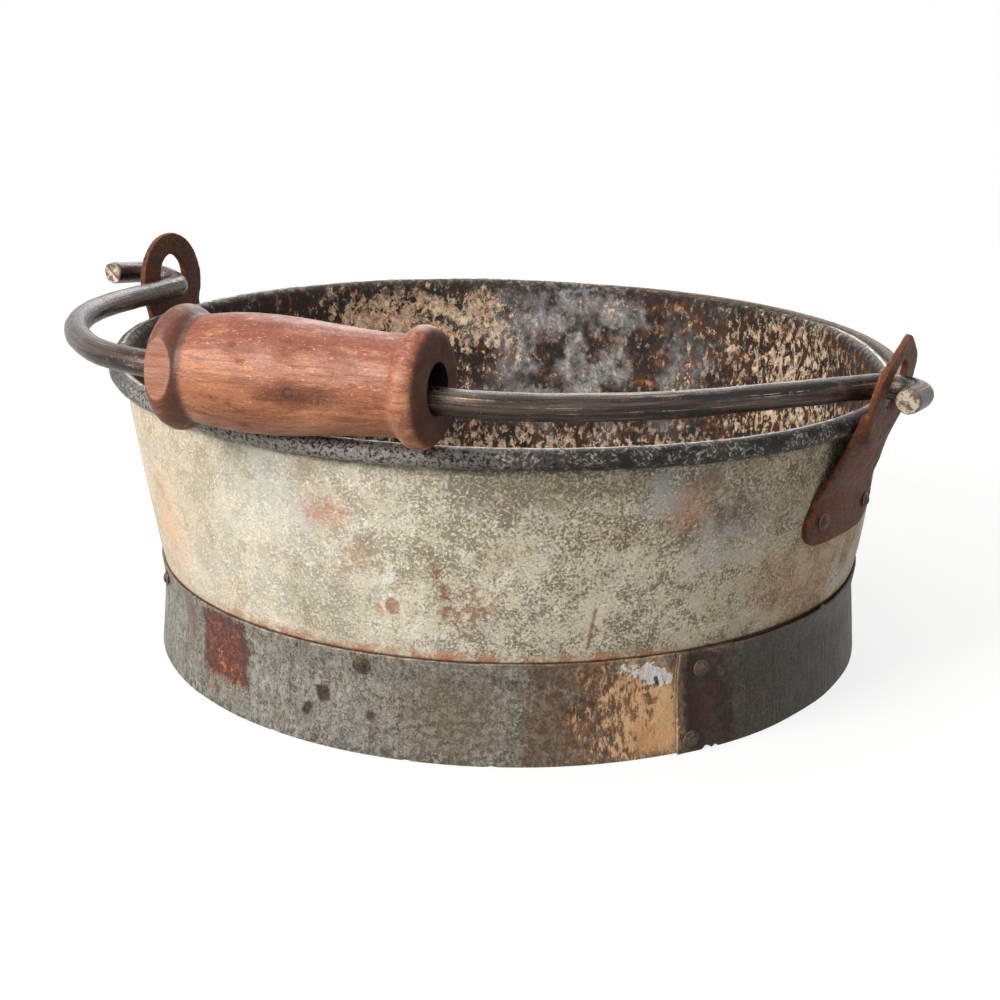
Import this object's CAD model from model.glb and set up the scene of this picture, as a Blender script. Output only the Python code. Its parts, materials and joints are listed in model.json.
# The looks of a small wash bucket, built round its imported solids. Metres, +Z up. Shapes are
# worked out in mm, and meshObject turns them into metres.
import json
import math
import bpy
import numpy as np
from mathutils import Matrix, Vector


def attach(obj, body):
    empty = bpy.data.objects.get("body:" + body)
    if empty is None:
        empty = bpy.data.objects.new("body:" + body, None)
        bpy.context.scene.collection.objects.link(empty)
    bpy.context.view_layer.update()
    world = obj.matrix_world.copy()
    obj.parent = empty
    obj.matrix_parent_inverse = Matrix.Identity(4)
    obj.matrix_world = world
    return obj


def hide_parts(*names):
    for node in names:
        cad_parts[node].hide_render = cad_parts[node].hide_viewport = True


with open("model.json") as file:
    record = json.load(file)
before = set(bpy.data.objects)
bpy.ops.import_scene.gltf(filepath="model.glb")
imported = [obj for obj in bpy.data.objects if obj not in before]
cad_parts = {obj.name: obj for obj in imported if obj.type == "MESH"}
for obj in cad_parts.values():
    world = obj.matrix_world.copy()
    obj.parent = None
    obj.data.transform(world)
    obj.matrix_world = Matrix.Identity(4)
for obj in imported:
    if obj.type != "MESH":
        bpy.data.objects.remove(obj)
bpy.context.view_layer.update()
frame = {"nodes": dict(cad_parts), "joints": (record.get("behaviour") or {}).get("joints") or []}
mm = 0.001
print("frame loaded:", len(frame["nodes"]), "nodes")


def bump(x, centre, width):  # a smooth hill, 1 at its centre
    return np.exp(-0.5 * ((x - centre) / width) ** 2)


def turnFrom(angle, centre):  # signed difference of two directions, in degrees
    return (angle - centre + 180) % 360 - 180


def smooth(x, low, high):
    t = np.clip((x - low) / (high - low), 0, 1)
    return t * t * (3 - 2 * t)


def latticeNoise(points, seed):
    # one random value for each corner of a unit lattice, blended smoothly, from -1 to 1
    cell = np.floor(points).astype(np.int64)
    part = points - cell
    part = part * part * (3 - 2 * part)
    table = np.random.default_rng(seed).uniform(-1, 1, 4096)
    total = np.zeros(points.shape[:-1])
    for corner in np.ndindex(2, 2, 2):
        weight = np.prod(np.where(np.array(corner) == 1, part, 1 - part), axis=-1)
        mixed = (cell + np.array(corner)) @ np.array([73856093, 19349663, 83492791])
        total += weight * table[(mixed ^ (mixed >> 13)) % 4096]
    return total


def layeredNoise(points, seed, layers):    # each layer is twice as fine and half as strong
    total, whole = 0, 0
    for layer in range(layers):
        fine = latticeNoise(points * 2 ** layer + 9.7 * layer, seed + layer)
        total = total + 0.5 ** layer * fine
        whole += 0.5 ** layer
    return total / whole


def meshObject(name, points, faces, sharp):    # sharp in degrees
    mesh = bpy.data.meshes.new(name)
    mesh.from_pydata((np.asarray(points) * mm).tolist(), [], faces)
    mesh.validate()
    mesh.shade_smooth()
    mesh.set_sharp_from_angle(angle=math.radians(sharp))
    made = bpy.data.objects.new(name, mesh)
    bpy.context.scene.collection.objects.link(made)
    return made


def skinFaces(rings, sides, loopRings, loopSides, caps=False):
    # quads between neighbouring rings of points, and a face on each end ring if asked
    index = np.arange(rings * sides).reshape(rings, sides)
    near = index if loopRings else index[:-1]
    far = np.roll(index, -1, 0) if loopRings else index[1:]
    if loopSides:
        quads = [near, far, np.roll(far, -1, 1), np.roll(near, -1, 1)]
    else:
        quads = [near[:, :-1], far[:, :-1], far[:, 1:], near[:, 1:]]
    faces = np.stack(quads, -1).reshape(-1, 4).tolist()
    if caps:
        faces += [index[0].tolist(), index[-1][::-1].tolist()]
    return faces


def facingOut(points, faces):
    # turns the faces round if the closed skin is inside out
    quads = np.array([f for f in faces if len(f) == 4])
    a, b, c, d = (points[quads[:, i]] for i in range(4))
    volume = (np.cross(a - d, b - d) * (c - d)).sum()
    return faces if volume < 0 else [f[::-1] for f in faces]


def setAttribute(made, name, values):
    kind = "FLOAT" if values.ndim == 1 else "FLOAT_VECTOR"
    field = made.data.attributes.new(name, kind, "POINT")
    key = "value" if kind == "FLOAT" else "vector"
    field.data.foreach_set(key, np.ascontiguousarray(values, np.float32).ravel())


# The tub's own shape, in mm and degrees. Directions are counted from +X, 0 is the right
# side and -90 the front.
tub = {
    "rimRadius": 160, "height": 119, "sheet": 1.2, "bandTop": 38.4, "bandTopRadius": 143.3,
    "beadRadius": 3.75, "beadZ": 115.25, "wallLow": 4,
    "swell": [(38, 0), (47, 0.7), (60, 1.1), (80, 1.5), (101, 1.4), (110, 0.3), (125, 0)],
    "rimPush": [(0, 16, -5.5), (172, 7, 1.5), (-155, 12, 2.0)],    # direction, spread, amount
    "tilt": (0.3, -0.0178, -0.004),    # rise of the rim, and its slope along X and Y
    "gripRest": (-118, 28, 0.75),      # the rim stays low under the grip
    # direction, height, spread along the wall, spread in height, depth
    "dents": [(-101, 96, 14, 9, 0.7), (-48, 62, 18, 12, 0.6), (-140, 70, 16, 14, 0.6),
              (20, 80, 16, 12, 1.1), (75, 58, 20, 14, 1.2), (120, 92, 12, 10, 0.9),
              (-176, 88, 12, 16, 0.8), (48, 100, 10, 7, 0.8), (-70, 84, 24, 8, 0.35)],
    "unevenness": 0.45, "sides": 560,
    "crease": ([73, 93, 115], [-114.1, -116.2, -116.9], 0.45),    # heights, directions, depth
}
degreeLength = 2.6    # mm along the tub's side for one degree
beadCentre = tub["rimRadius"] - tub["beadRadius"]
flare = (beadCentre - tub["beadRadius"] + tub["sheet"] - tub["bandTopRadius"]) \
    / (tub["beadZ"] - tub["bandTop"])


def wallRadius(z):
    return tub["bandTopRadius"] + flare * (z - tub["bandTop"])


def tubWarp(points):
    # pushes points of the tub's wall, rim, ears and rivets to the worn, uneven shape
    x, y, z = points[..., 0], points[..., 1], points[..., 2]
    angle, radius = np.degrees(np.arctan2(y, x)), np.hypot(x, y)
    heights, amounts = zip(*tub["swell"])
    push = np.interp(z, heights, amounts)
    high = np.clip((z - 45) / 70, 0, 1)
    for at, spread, amount in tub["rimPush"]:
        push = push + amount * high ** 1.5 * bump(turnFrom(angle, at), 0, spread)
    for at, height, wide, tall, depth in tub["dents"]:
        across = turnFrom(angle, at) * math.radians(1) * 150
        push = push - depth * bump(across, 0, wide) * bump(z, height, tall)
    ring = np.stack([np.cos(np.radians(angle)), np.sin(np.radians(angle)), z / 150], -1) * 3.6
    push = push + tub["unevenness"] * layeredNoise(ring, 5, 3) * smooth(z, 40, 60) \
        * (1 - 0.6 * smooth(z, 104, 112))
    rest = tub["gripRest"]
    rise = (tub["tilt"][0] + tub["tilt"][1] * x + tub["tilt"][2] * y) * high
    rise = rise * (1 - rest[2] * bump(turnFrom(angle, rest[0]), 0, rest[1]))
    scale = (radius + push) / np.maximum(radius, 1e-6)
    return np.stack([x * scale, y * scale, z + rise], -1)


def buildWall():
    # the wall's section, from its lower edge up the outside, round the rolled rim and down
    bead, centre, low = tub["beadRadius"], beadCentre, tub["wallLow"]
    outerZ = np.linspace(low, 111.6, 66)
    section = [(wallRadius(z), z, 0, 0) for z in outerZ]
    section += [(wallRadius(112.5), 112.5, 0.15, 0), (centre - 2.5, 112.8, 1, 0)]
    for turn in np.linspace(238, 530, 26):
        a = math.radians(turn)
        section.append((centre + bead * math.cos(a), tub["beadZ"] + bead * math.sin(a),
                        1 - smooth(turn, 462, 492), smooth(turn, 440, 520)))
    innerZ = np.linspace(tub["beadZ"] - 1.5, low, 44)
    section += [(wallRadius(z) - tub["sheet"], z, 0, 1) for z in innerZ]
    radius, height, beadShare, insideShare = (np.array(c, float) for c in zip(*section))
    turns = np.radians(np.linspace(0, 360, tub["sides"], endpoint=False))
    rings = np.stack([np.outer(np.cos(turns), radius), np.outer(np.sin(turns), radius),
                      np.tile(height, (len(turns), 1))], -1)
    rings = tubWarp(rings)
    # the rolled edge is hammered a little uneven, and the sheet's crease is pressed in
    flat = rings.reshape(-1, 3)
    out = np.stack([flat[:, 0], flat[:, 1], 0 * flat[:, 2]], -1)
    out /= np.linalg.norm(out, axis=1, keepdims=True)
    share = np.tile(beadShare, len(turns))
    side = np.tile(insideShare, len(turns))
    knock = 0.28 * layeredNoise(flat / 9, 21, 2) + 0.12 * layeredNoise(flat / 3, 23, 2)
    flat = flat + out * (knock * share * (1 - side))[:, None]
    flat[:, 2] += share * (0.22 * layeredNoise(flat / 14, 25, 2) + 0.1 * latticeNoise(flat / 4, 27))
    angle = np.degrees(np.arctan2(flat[:, 1], flat[:, 0]))
    heights, directions, depth = tub["crease"]
    creaseAt = np.interp(flat[:, 2], heights, directions)
    crease = bump(turnFrom(angle, creaseAt) * degreeLength, 0, 2.0) * smooth(flat[:, 2], 70, 80)
    flat = flat - out * (depth * crease * (1 - share))[:, None]
    faces = facingOut(flat, skinFaces(len(turns), len(radius), True, True))
    made = meshObject("tubWall", flat, faces, 50)
    setAttribute(made, "beadShare", share)
    setAttribute(made, "insideShare", side)
    return made


# The foot band: a strip laid round the tub, its outer end over its inner one
band = {
    "height": 38.4, "sheet": 1.2, "groundRadius": 145.5, "seat": 10, "lapAt": -65.3,
    "lapSpan": 9, "climb": 16, "waviness": 0.28,
    "lift": (-39, 10, 1.3),           # the top edge stands off the wall here
    "nicks": [(-60.4, 0.7, 2.2), (-58.9, 0.4, 1.1), (-104, 0.5, 0.7), (-126, 0.6, 0.5),
              (-92, 0.8, 0.5), (40, 0.8, 1.0), (150, 0.6, 0.9)],
    "burr": (-35.2, 0.7, 1.6),
}


def bandInner(z):
    seat = band["height"] - band["seat"]
    low, high = band["groundRadius"] - band["sheet"], wallRadius(seat)
    return np.where(z >= seat, wallRadius(z), low + (high - low) * z / seat)


def buildBand():
    top, sheet = band["height"], band["sheet"]
    outer = [(sheet, z) for z in np.linspace(0.25, top - 0.35, 30)]
    edge = [(sheet - 0.3, top), (0.3, top)]
    inner = [(0.02, z) for z in np.linspace(top - 0.35, 0.25, 16)]
    base = [(0.3, 0.0), (sheet - 0.3, 0.0)]
    off, height = (np.array(c, float) for c in zip(*(outer + edge + inner + base)))
    turns = np.linspace(band["lapAt"], band["lapAt"] + 360 + band["lapSpan"], 640)
    along = turns - band["lapAt"]
    layer = sheet * (1 - smooth(along, band["lapSpan"] + 0.5, band["lapSpan"] + band["climb"]))
    # the free end springs off a little
    layer = np.where(along < 1.2, layer + 0.25 * (1.2 - along) / 1.2, layer)
    z = np.tile(height, (len(turns), 1))
    angle = np.tile(turns[:, None], (1, len(height)))
    radius = bandInner(z) + off + layer[:, None]
    at, spread, amount = band["lift"]
    radius = radius + amount * bump(turnFrom(angle, at), 0, spread) * smooth(z, 24, top)
    ring = np.stack([np.cos(np.radians(angle)), np.sin(np.radians(angle)), z / 120], -1)
    wave = band["waviness"] * layeredNoise(ring * 7, 31, 3)
    radius = radius + np.maximum(wave, -0.1) * (0.4 + 0.6 * (z < 30))
    free = smooth(z, 8, 0)
    for where, wide, deep in band["nicks"]:
        z = z + deep * np.clip(1 - np.abs(turnFrom(angle, where)) / wide, 0, 1) * free
    z = z + 0.18 * latticeNoise(ring * 40, 35) * smooth(height, 34, top)
    at, wide, tall = band["burr"]
    z = z + tall * np.clip(1 - np.abs(turnFrom(angle, at)) / wide, 0, 1) * smooth(height, 34, top)
    rad = np.radians(angle)
    rings = np.stack([radius * np.cos(rad), radius * np.sin(rad), np.maximum(z, 0)], -1)
    points = rings.reshape(-1, 3)
    faces = facingOut(points, skinFaces(len(turns), len(height), False, True, caps=True))
    return meshObject("footBand", points, faces, 40)


# The floor: a slightly sagged disc with its edge turned down, and a ring pressed in it
dish = {
    "top": 12, "bend": 11.6, "under": 10.8, "underBend": 10.4, "sag": 0.5, "unevenness": 0.8,
    "ring": (16, 2.2, 0.6),    # distance from the edge, width, depth
    "sides": 240,
}


def buildFloor():
    reach = wallRadius(dish["top"]) - tub["sheet"]
    low = wallRadius(tub["wallLow"]) - tub["sheet"]
    section = [(r, dish["top"]) for r in np.linspace(1, reach - 1.5, 60)]
    section += [(reach - 0.4, dish["bend"]), (low, tub["wallLow"]),
                (low - tub["sheet"], tub["wallLow"]), (reach - 2.4, dish["underBend"])]
    section += [(r, dish["under"]) for r in np.linspace(reach - 3.5, 1, 24)]
    radius, height = (np.array(c, float) for c in zip(*section))
    turns = np.radians(np.linspace(0, 360, dish["sides"], endpoint=False))
    rings = np.stack([np.outer(radius, np.cos(turns)), np.outer(radius, np.sin(turns)),
                      np.tile(height[:, None], (1, len(turns)))], -1)
    points = rings.reshape(-1, 3)
    span = np.hypot(points[:, 0], points[:, 1])
    sag = smooth(span, reach - 2, reach - 40)
    points[:, 2] += sag * (dish["unevenness"] * layeredNoise(points / 60, 41, 3) - dish["sag"])
    inFrom, wide, deep = dish["ring"]
    points[:, 2] -= deep * bump(span, reach - inFrom, wide) * (points[:, 2] > 9)
    faces = skinFaces(len(radius), len(turns), False, True, caps=True)
    return meshObject("tubFloor", points, facingOut(points, faces), 40)


# The bail's rod, in mm and degrees: its bends as turned in the bail's own plane
rod = {
    "thick": 9.2, "hinge": 331.68, "rest": 3.42, "twist": 14, "hookOut": 2, "hookRadius": 10,
    "leftEnd": 17, "rightEnd": 14, "limb": 46.9, "gripStraight": 95.4,
    "headings": {"limb": 76, "elbow": 32, "grip": -9, "shoulder": -40, "arm": -64},
    "radii": {"left": 150, "corner": 60, "shoulder": 70, "right": 148},
    "step": 1.0, "sides": 36, "ridge": 0.13, "knocks": 0.16, "slants": (0.35, 0.25),
}


def jointLine(name):
    joint = next(j for j in frame["joints"] if j["name"] == name)
    return np.array(joint["pos_m"]) / mm, np.array(joint["axis"])


def rodCentre():
    # sampled points of the rod's centre line, from the left hook's end to the right one's
    head, radii, hook, out = rod["headings"], rod["radii"], rod["hookRadius"], rod["hookOut"]
    right, axis = jointLine("bail_swing")
    left = right + axis * rod["hinge"]
    start = left - np.array([0, 0, hook * math.sin(math.radians(rod["twist"]))])
    span = right - start
    length = np.linalg.norm(span)

    def aim(a):
        return np.array([math.cos(math.radians(a)), math.sin(math.radians(a))])

    def bendStep(radius, a, b):
        side = 1 if b > a else -1
        return side * radius * np.array([math.sin(math.radians(b)) - math.sin(math.radians(a)),
                                         math.cos(math.radians(a)) - math.cos(math.radians(b))])

    def walk(at, parts):
        line = [at]
        for part in parts:
            if part[0] == "straight":
                count = max(1, int(part[2] / rod["step"]))
                line += [at + aim(part[1]) * part[2] * i / count for i in range(1, count + 1)]
            else:
                radius, a, b = part[1:]
                count = max(2, int(radius * math.radians(abs(b - a)) / rod["step"]))
                line += [at + bendStep(radius, a, a + (b - a) * i / count)
                         for i in range(1, count + 1)]
            at = line[-1]
        return line

    limbStart = np.array([-out, 0]) + bendStep(hook, 0, head["limb"])
    tailEnd = np.array([-out - hook, hook])
    leftPart = walk(tailEnd + np.array([0, rod["leftEnd"]]),
                    [("straight", -90, rod["leftEnd"]), ("bend", hook, -90, head["limb"])])
    beforeArm = [("straight", head["limb"], rod["limb"]),
                 ("bend", radii["left"], head["limb"], head["elbow"]),
                 ("bend", radii["corner"], head["elbow"], head["grip"]),
                 ("straight", head["grip"], rod["gripStraight"]),
                 ("bend", radii["shoulder"], head["grip"], head["shoulder"]),
                 ("bend", radii["right"], head["shoulder"], head["arm"])]
    middle = walk(limbStart, beforeArm)
    goal = np.array([length + out, 0]) - bendStep(hook, head["arm"], 0)
    gap = goal - middle[-1]
    arm = np.linalg.norm(gap)
    lean = math.degrees(math.atan2(gap[1], gap[0]))
    tail = walk(middle[-1], [("straight", lean, arm), ("bend", hook, head["arm"], 90),
                             ("straight", 90, rod["rightEnd"])])
    flat = np.array(leftPart[:-1] + middle + tail[1:])
    lift = np.zeros(len(flat))
    # the left hook is twisted up about the limb
    twist, along = math.radians(rod["twist"]), aim(head["limb"])
    for i in range(len(leftPart) - 1):
        away = flat[i] - limbStart
        reach, off = away @ along, along[0] * away[1] - along[1] * away[0]
        side = np.array([-along[1], along[0]])
        flat[i] = limbStart + reach * along + off * math.cos(twist) * side
        lift[i] = off * math.sin(twist)
    rest = math.radians(rod["rest"])
    local = np.stack([flat[:, 0], -(flat[:, 1] * math.cos(rest)) + lift * math.sin(rest),
                      flat[:, 1] * math.sin(rest) + lift * math.cos(rest)], -1)
    tilt, turn = math.asin(span[2] / length), math.atan2(span[1], span[0])
    place = Matrix.Rotation(turn, 3, "Z") @ Matrix.Rotation(-tilt, 3, "Y")
    return start + local @ np.array(place).T


def sweptRings(line, radiusOf, sides):
    # rings round a line, kept from twisting, and the distance along it
    ahead = np.gradient(line, axis=0)
    ahead /= np.linalg.norm(ahead, axis=1, keepdims=True)
    side = np.cross(ahead[0], [0, 0, 1.0])
    side /= np.linalg.norm(side)
    rings, local = [], []
    distance = np.r_[0, np.cumsum(np.linalg.norm(np.diff(line, axis=0), axis=1))]
    turns = np.linspace(0, 2 * math.pi, sides, endpoint=False)
    for i, at in enumerate(line):
        side = side - ahead[i] * (side @ ahead[i])
        side /= np.linalg.norm(side)
        up = np.cross(side, ahead[i])
        radius = radiusOf(distance[i], turns)
        spoke = np.cos(turns)[:, None] * side + np.sin(turns)[:, None] * up
        rings.append(at + spoke * radius[:, None])
        local.append(np.stack([np.full(sides, distance[i]), np.cos(turns) * radius,
                               np.sin(turns) * radius], -1))
    return np.array(rings), np.array(local), distance


def buildBail():
    line = rodCentre()
    whole = np.linalg.norm(np.diff(line, axis=0), axis=1).sum()

    def radiusOf(s, turns):
        radius = np.full(len(turns), rod["thick"] / 2)

        def skinAt(along, round):    # long steps along the rod, finer ones round it
            return np.stack([np.full(len(turns), along), round * np.cos(turns),
                             round * np.sin(turns)], -1)

        radius += rod["ridge"] * latticeNoise(skinAt(s / 42, 3.4), 51)
        radius += rod["knocks"] * layeredNoise(skinAt(s / 9, 1.3), 53, 2)
        end = min(s, whole - s)
        return radius * (1 - 0.14 * max(0, 1 - end / 1.2))

    rings, local, distance = sweptRings(line, radiusOf, rod["sides"])
    # both ends are cut off at a slant
    for end, inward, slant in zip((0, -1), (1, -1), rod["slants"]):
        outward = line[end] - line[end + inward]
        outward /= np.linalg.norm(outward)
        across = rings[end] - line[end]
        rings[end] = rings[end] + np.outer(across[:, 2] * slant, outward)
    points, own = rings.reshape(-1, 3), local.reshape(-1, 3)
    faces = facingOut(points, skinFaces(len(line), rod["sides"], False, True, caps=True))
    made = meshObject("bailRod", points, faces, 45)
    setAttribute(made, "alongRod", own)
    setAttribute(made, "cutEnd", np.maximum(smooth(own[:, 0], 0.9, 0.0),
                                            smooth(own[:, 0], distance[-1] - 0.9, distance[-1])))
    return made


# The grip: a turned wooden sleeve. Distance from its left end and radius, in mm
grip = {
    "length": 98, "bore": 8.5,
    "profile": [(0, 8.6), (0, 16.6), (0.5, 18.2), (1.7, 19.9), (3.6, 21.1), (5.6, 21.45),
                (7.4, 21.1), (9.2, 20.2), (10.6, 18.9), (11.7, 18.1), (13, 18.2), (16, 18.7), (24, 19.6),
                (31, 19.95), (40, 19.9), (50, 19.3), (60, 18.4), (70, 17.5), (80, 16.9),
                (86, 16.85), (87.4, 17.0), (88.3, 17.5), (89.1, 18.6), (90.1, 19.6), (91.5, 20.15),
                (93, 20.25), (94.8, 19.9), (96.3, 19.0), (97.4, 17.7), (98, 15.9), (98, 8.6)],
    "flatAt": 80, "flatRadius": 18.6, "flatEnd": 11.2,
    "notches": [(2.5, 150, 1.1), (95.5, 20, 0.8), (94.5, 118, 0.7), (5.0, -35, 0.9),
                (96, 200, 0.9)],    # distance along, turn, depth
}


def buildGrip():
    middle, axis = jointLine("grip_turn")
    front = np.cross([0, 0, 1.0], axis)
    front /= -np.linalg.norm(front)
    front = -front if front[1] > 0 else front
    up = np.cross(front, axis)
    up = up if up[2] > 0 else -up
    shape = np.array(grip["profile"], float)
    steps = np.r_[0, np.cumsum(np.linalg.norm(np.diff(shape, axis=0), axis=1))]
    fine = np.linspace(0, steps[-1], 230)
    outline = np.stack([np.interp(fine, steps, shape[:, i]) for i in (0, 1)], -1)
    for _ in range(3):
        outline[1:-1] = (outline[:-2] + 2 * outline[1:-1] + outline[2:]) / 4
    inside = np.stack([np.linspace(grip["length"], 0, 24), np.full(24, grip["bore"])], -1)
    inside[[0, -1], 1] += 0.15
    inside[[0, -1], 0] += [-0.2, 0.2]
    outline = np.concatenate([outline, inside])
    turns = np.radians(np.linspace(0, 360, 150, endpoint=False))
    x = np.tile(outline[:, 0][:, None], (1, len(turns)))
    radius = np.tile(outline[:, 1][:, None], (1, len(turns)))
    round3 = np.stack([x / 30, np.tile(np.cos(turns), (len(x), 1)) * 1.2,
                       np.tile(np.sin(turns), (len(x), 1)) * 1.2], -1)
    skin = smooth(radius, 9.5, 14)
    radius = radius + skin * 0.22 * layeredNoise(round3, 61, 2)
    fibre = np.stack([x / 14, np.cos(turns) * 11 + 0 * x, np.sin(turns) * 11 + 0 * x], -1)
    radius = radius + skin * 0.07 * layeredNoise(fibre, 63, 2)
    for along, turn, deep in grip["notches"]:
        away = np.hypot(x - along, np.radians(turnFrom(np.degrees(turns), turn)) * 20)
        radius = radius - skin * deep * np.clip(1 - away / 3.2, 0, 1) ** 1.5
    a, b = radius * np.cos(turns), radius * np.sin(turns)    # up and towards the front
    face = math.radians(grip["flatAt"])
    depth = a * math.cos(face) + b * math.sin(face) - grip["flatRadius"] \
        - 0.35 * latticeNoise(np.stack([x / 5, a / 5, b / 5], -1), 65)
    cut = np.maximum(depth, 0) * (x < grip["flatEnd"]) * (radius > 12)
    a, b = a - cut * math.cos(face), b - cut * math.sin(face)
    knot = bump(x, 54, 2.2) * bump(np.degrees(np.arctan2(b, a)), 92, 6)
    a, b = a * (1 - 0.015 * knot), b * (1 - 0.015 * knot)
    points = middle + (x - grip["length"] / 2)[..., None] * axis + a[..., None] * up \
        + b[..., None] * front
    points = points.reshape(-1, 3)
    faces = facingOut(points, skinFaces(len(outline), len(turns), True, True))
    made = meshObject("woodGrip", points, faces, 42)
    setAttribute(made, "onGrip", np.stack([x, a, b], -1).reshape(-1, 3))
    setAttribute(made, "chipped", smooth(cut, 0.0, 0.25).ravel())
    return made


# Ears and rivets keep their solid's shape, with worn edges and a pitted face. Lengths in mm
earShape = {"cell": 0.5, "wear": 9, "pit": 0.14, "neck": (100, 121, 60),
            "foot": (112, 88), "tip": (134, 149), "pinch": 0.45}
rivetShape = {"cell": 0.25, "wear": 2, "pit": 0.14, "head": (1.7, 2.4), "spread": 0.13,
              "ring": (2.15, 0.3, 0.3)}    # the ring's radius, width and depth


def melt(mesh, co, low, high, rounds):
    # smooths only the part between two heights, fading out 5 mm past each
    ends = np.zeros(len(mesh.edges) * 2, int)
    mesh.edges.foreach_get("vertices", ends)
    a, b = ends.reshape(-1, 2).T
    both, others = np.concatenate([a, b]), np.concatenate([b, a])
    shared = np.maximum(np.bincount(both, minlength=len(co)), 1)
    share = 0.5 * smooth(co[:, 2], low - 5, low) * smooth(co[:, 2], high + 5, high)
    for _ in range(rounds):
        sums = np.stack([np.bincount(both, co[others, k], len(co)) for k in range(3)], 1)
        co = co + share[:, None] * (sums / shared[:, None] - co)
    return co


def wornCopy(node, name, shape, reshape):
    made = bpy.data.objects.new(name, frame["nodes"][node].data.copy())
    bpy.context.scene.collection.objects.link(made)
    made.data.materials.clear()
    remesh = made.modifiers.new("remesh", "REMESH")
    remesh.mode, remesh.voxel_size = "VOXEL", shape["cell"] * mm
    soften = made.modifiers.new("soften", "SMOOTH")
    soften.factor, soften.iterations = 0.5, shape["wear"]
    bpy.context.view_layer.update()
    done = made.evaluated_get(bpy.context.evaluated_depsgraph_get())
    mesh = bpy.data.meshes.new_from_object(done)
    made.modifiers.clear()
    made.data = mesh
    mesh.name = name
    for layer in [a.name for a in mesh.attributes if a.name.startswith("UV")]:
        mesh.attributes.remove(mesh.attributes[layer])
    count = len(mesh.vertices)
    co, normal = np.zeros(count * 3), np.zeros(count * 3)
    mesh.vertices.foreach_get("co", co)
    mesh.vertex_normals.foreach_get("vector", normal)
    co, normal = co.reshape(-1, 3) / mm, normal.reshape(-1, 3)
    if "neck" in shape:
        co = melt(mesh, co, *shape["neck"])
    depth = layeredNoise(co / 4.5, 71, 3) - 0.4 * np.maximum(latticeNoise(co / 2.1, 75), 0)
    co = reshape(co + normal * (shape["pit"] * depth)[:, None])
    mesh.vertices.foreach_set("co", (co * mm).ravel())
    mesh.update()
    mesh.shade_smooth()
    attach(made, "tub")
    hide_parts(node)
    return made


def shapeEar(co):
    # an ear follows the dented wall at its foot and keeps its head's place at the bail
    share = smooth(co[:, 2], *earShape["foot"])[:, None]
    co = co * (1 - share) + tubWarp(co) * share
    angle = math.degrees(math.atan2(co[:, 1].mean(), co[:, 0].mean()))
    turned = np.radians(angle)
    across = -co[:, 0] * math.sin(turned) + co[:, 1] * math.cos(turned)
    if angle < 0:    # the right ear's head is hammered to a point
        pinch = earShape["pinch"] * smooth(co[:, 2], *earShape["tip"]) * across
        co = co - np.outer(pinch, [-math.sin(turned), math.cos(turned), 0])
    return co


def shapeRivet(co):
    # a domed head, spread by the hammer and sunk in a ring
    middle = (co.max(0) + co.min(0)) / 2
    angle = math.atan2(middle[1], middle[0])
    out = np.array([math.cos(angle), math.sin(angle), 0])
    away = co - middle - np.outer((co - middle) @ out, out)
    reach = np.linalg.norm(away, axis=1)
    spreadShare = smooth(reach, *rivetShape["head"]) * (co @ out > middle @ out)
    co = co + away * (rivetShape["spread"] * spreadShare)[:, None]
    ringAt, wide, deep = rivetShape["ring"]
    co = co - np.outer(deep * bump(reach, ringAt, wide) * (co @ out > middle @ out), out)
    return tubWarp(co) if middle[2] > 40 else co


wall = buildWall()
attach(wall, "tub"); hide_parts("tub_wall")
footBand = buildBand()
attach(footBand, "tub"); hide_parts("foot_band")
floorDisc = buildFloor()
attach(floorDisc, "tub"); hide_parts("tub_floor")
print("tub, band and floor built")
bail = buildBail()
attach(bail, "bail"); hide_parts("bail")
woodGrip = buildGrip()
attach(woodGrip, "grip"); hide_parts("grip")
print("bail and grip built")
ears = [wornCopy("ear_" + side, "ear" + side.title(), earShape, shapeEar)
        for side in ("left", "right")]
rivets = []
for node in sorted(frame["nodes"]):
    if "rivet" in node:
        label = node.title().replace("_", "")
        label = label[0].lower() + label[1:]
        rivets.append(wornCopy(node, label, rivetShape, shapeRivet))
print("ears and", len(rivets), "rivets built")


def paint(red, green, blue):  # a colour as picked on screen, 0 to 255
    return tuple(((c / 255 + 0.055) / 1.055) ** 2.4 if c > 10.3 else c / 255 / 12.92
                 for c in (red, green, blue)) + (1,)


def setInputs(tree, node, values):    # a value is set on its socket, an output is linked to it
    for key, value in values.items():
        if isinstance(value, bpy.types.NodeSocket):
            tree.links.new(value, node.inputs[key])
        else:
            node.inputs[key].default_value = value
    return node


def addNode(tree, kind, values=None, **settings):
    made = tree.nodes.new("ShaderNode" + kind)
    for name, value in settings.items():
        setattr(made, name, value)
    return setInputs(tree, made, values or {})


def calc(tree, operation, *values):
    return addNode(tree, "Math", dict(enumerate(values)), operation=operation).outputs[0]


def mulAdd(tree, a, b, c):    # a times b plus c
    return calc(tree, "MULTIPLY_ADD", a, b, c)


def minus(tree, a, b):
    return calc(tree, "SUBTRACT", a, b)


def unsigned(tree, value):    # a value without its sign
    return calc(tree, "ABSOLUTE", value)


def fade(tree, value, low, high, start=0.0, end=1.0):
    return addNode(tree, "MapRange", {"Value": value, "From Min": low, "From Max": high,
                                      "To Min": start, "To Max": end},
                   interpolation_type="SMOOTHSTEP").outputs[0]


def blendColor(tree, share, under, over):
    return addNode(tree, "Mix", {0: share, 6: under, 7: over}, data_type="RGBA").outputs[2]


def grainOf(tree, place, size, detail, rough, warp=0.0):    # size in mm
    return addNode(tree, "TexNoise", {"Vector": place, "Scale": 1 / size, "Detail": detail,
                                      "Roughness": rough, "Distortion": warp}).outputs["Fac"]


def stretched(tree, place, x, y, z):
    return addNode(tree, "VectorMath", {0: place, 1: (x, y, z)}, operation="MULTIPLY").outputs[0]


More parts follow.
